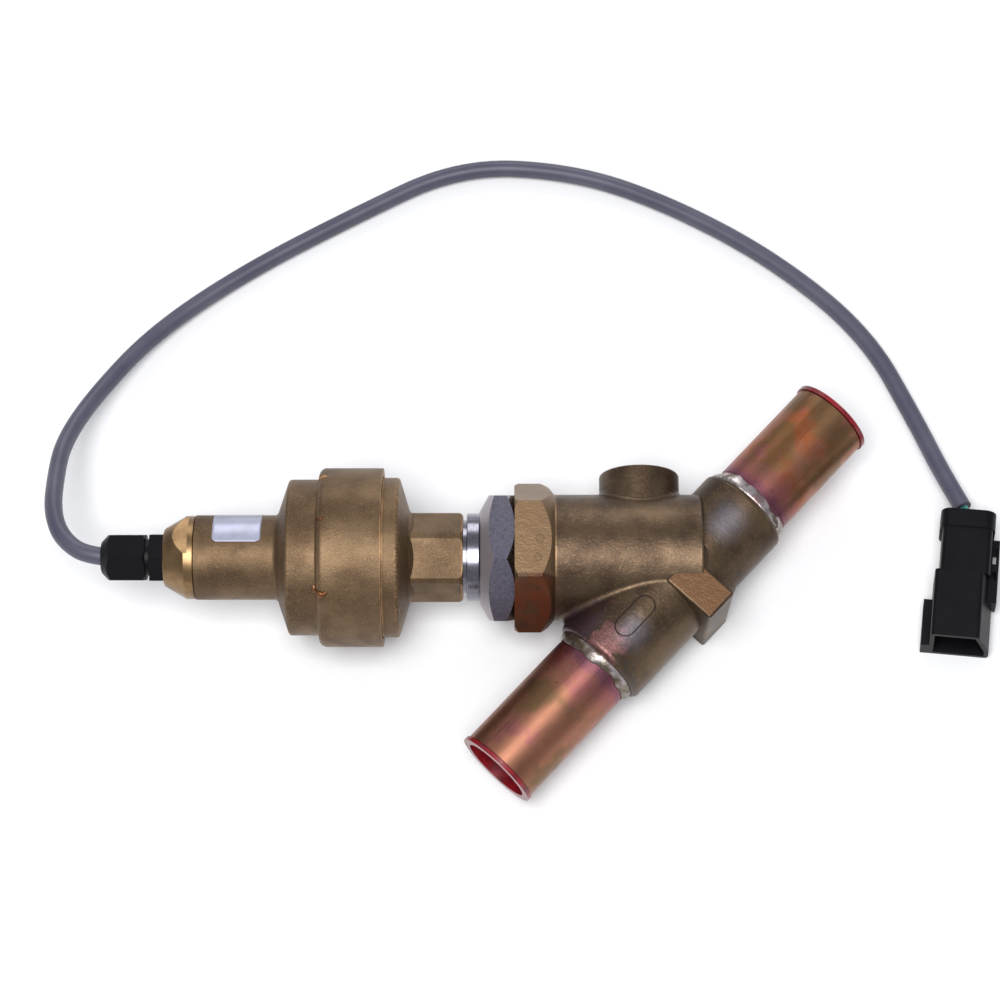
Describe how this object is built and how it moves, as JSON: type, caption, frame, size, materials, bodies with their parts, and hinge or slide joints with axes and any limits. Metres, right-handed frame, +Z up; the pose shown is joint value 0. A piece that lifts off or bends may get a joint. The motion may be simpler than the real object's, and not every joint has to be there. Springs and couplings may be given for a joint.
{
  "type": "motor-driven expansion valve",
  "caption": "Cast bronze Y-pattern expansion valve with a stepper motor head, copper brazing stubs, and a cable ending in a rectangular connector.",
  "frame": {"origin": "centre of the valve's bounding box on the surface it lies on, without the free cable and its connector", "axes": "+X level along the line of the two tubes from inlet to outlet, +Z up"},
  "size_m": [0.2642, 0.3126, 0.0633],
  "materials": {
    "cast_body": "cast, dull dark bronze with heat stains",
    "cast_motor": "cast, coarse, golden bronze",
    "bright_steel": "machined, bright",
    "cap_brass": "turned, satin",
    "black_plastic": "moulded, fine grain",
    "rubber_seal": "matt",
    "copper_tube": "copper, heat tinted",
    "braze_silver": "silver braze, uneven",
    "red_plastic": "glossy",
    "cable_grey": "satin sheath",
    "wire_green": "satin",
    "can_steel": "drawn",
    "winding_copper": "enamelled copper",
    "inner_plastic": "moulded",
    "magnet_grey": "ferrite",
    "contact_metal": "plated",
    "wedge_plastic": "moulded"
  },
  "bodies": {
    "root": {"valve_body": "cast_body", "seat_ring": "bright_steel", "guide_cage": "cap_brass", "bonnet": "bright_steel", "bonnet_o_ring": "rubber_seal", "front_housing": "cast_motor", "rear_housing": "cast_motor", "housing_o_ring": "rubber_seal", "stator_front_cup": "can_steel", "stator_rear_cup": "can_steel", "bobbin_front": "inner_plastic", "bobbin_rear": "inner_plastic", "coil_front": "winding_copper", "coil_rear": "winding_copper", "rotor_can": "can_steel", "rear_bush": "cap_brass", "bearing_outer_ring": "bright_steel", "bearing_balls": "bright_steel", "end_cap": "cap_brass", "end_cap_o_ring": "rubber_seal", "gland_body": "black_plastic", "gland_nut": "black_plastic", "gland_seal": "rubber_seal", "terminal_board": "inner_plastic", "winding_leads": "wire_green", "cable_cores": "wire_green", "inlet_tube": "copper_tube", "outlet_tube": "copper_tube", "inlet_braze": "braze_silver", "outlet_braze": "braze_silver", "cable_sheath": "cable_grey", "core_wires": "wire_green", "connector_shell": "black_plastic", "connector_seal": "rubber_seal", "connector_pins": "contact_metal", "connector_wedge": "wedge_plastic"},
    "rotor": {"rotor_magnet": "magnet_grey", "rotor_hub": "inner_plastic", "lead_screw": "bright_steel", "bearing_inner_ring": "bright_steel"},
    "piston": {"piston": "bright_steel", "seat_seal": "inner_plastic", "screw_nut": "cap_brass"},
    "inlet_cap": {"inlet_cap": "red_plastic"},
    "outlet_cap": {"outlet_cap": "red_plastic"}
  },
  "joints": [
    {"name": "rotor_turn", "type": "hinge", "parent": "root", "child": "rotor", "pos_m": [-0.04497, 0.02149, 0.03177], "axis": [0.6845, -0.7241, -0.0842], "range_deg": [0, 2340]},
    {"name": "piston_lift", "type": "slide", "parent": "root", "child": "piston", "axis": [-0.6845, 0.7241, 0.0842], "range_m": [0, 0.013]},
    {"name": "inlet_cap_pull", "type": "slide", "parent": "root", "child": "inlet_cap", "axis": [-0.9996, 0, -0.0269], "range_m": [0, 0.045]},
    {"name": "outlet_cap_pull", "type": "slide", "parent": "root", "child": "outlet_cap", "axis": [0.9996, 0, 0.0269], "range_m": [0, 0.045]}
  ],
  "couplings": [
    {"joint": "piston_lift", "follows": "rotor_turn", "m_per_rad": 0.00031831}
  ]
}
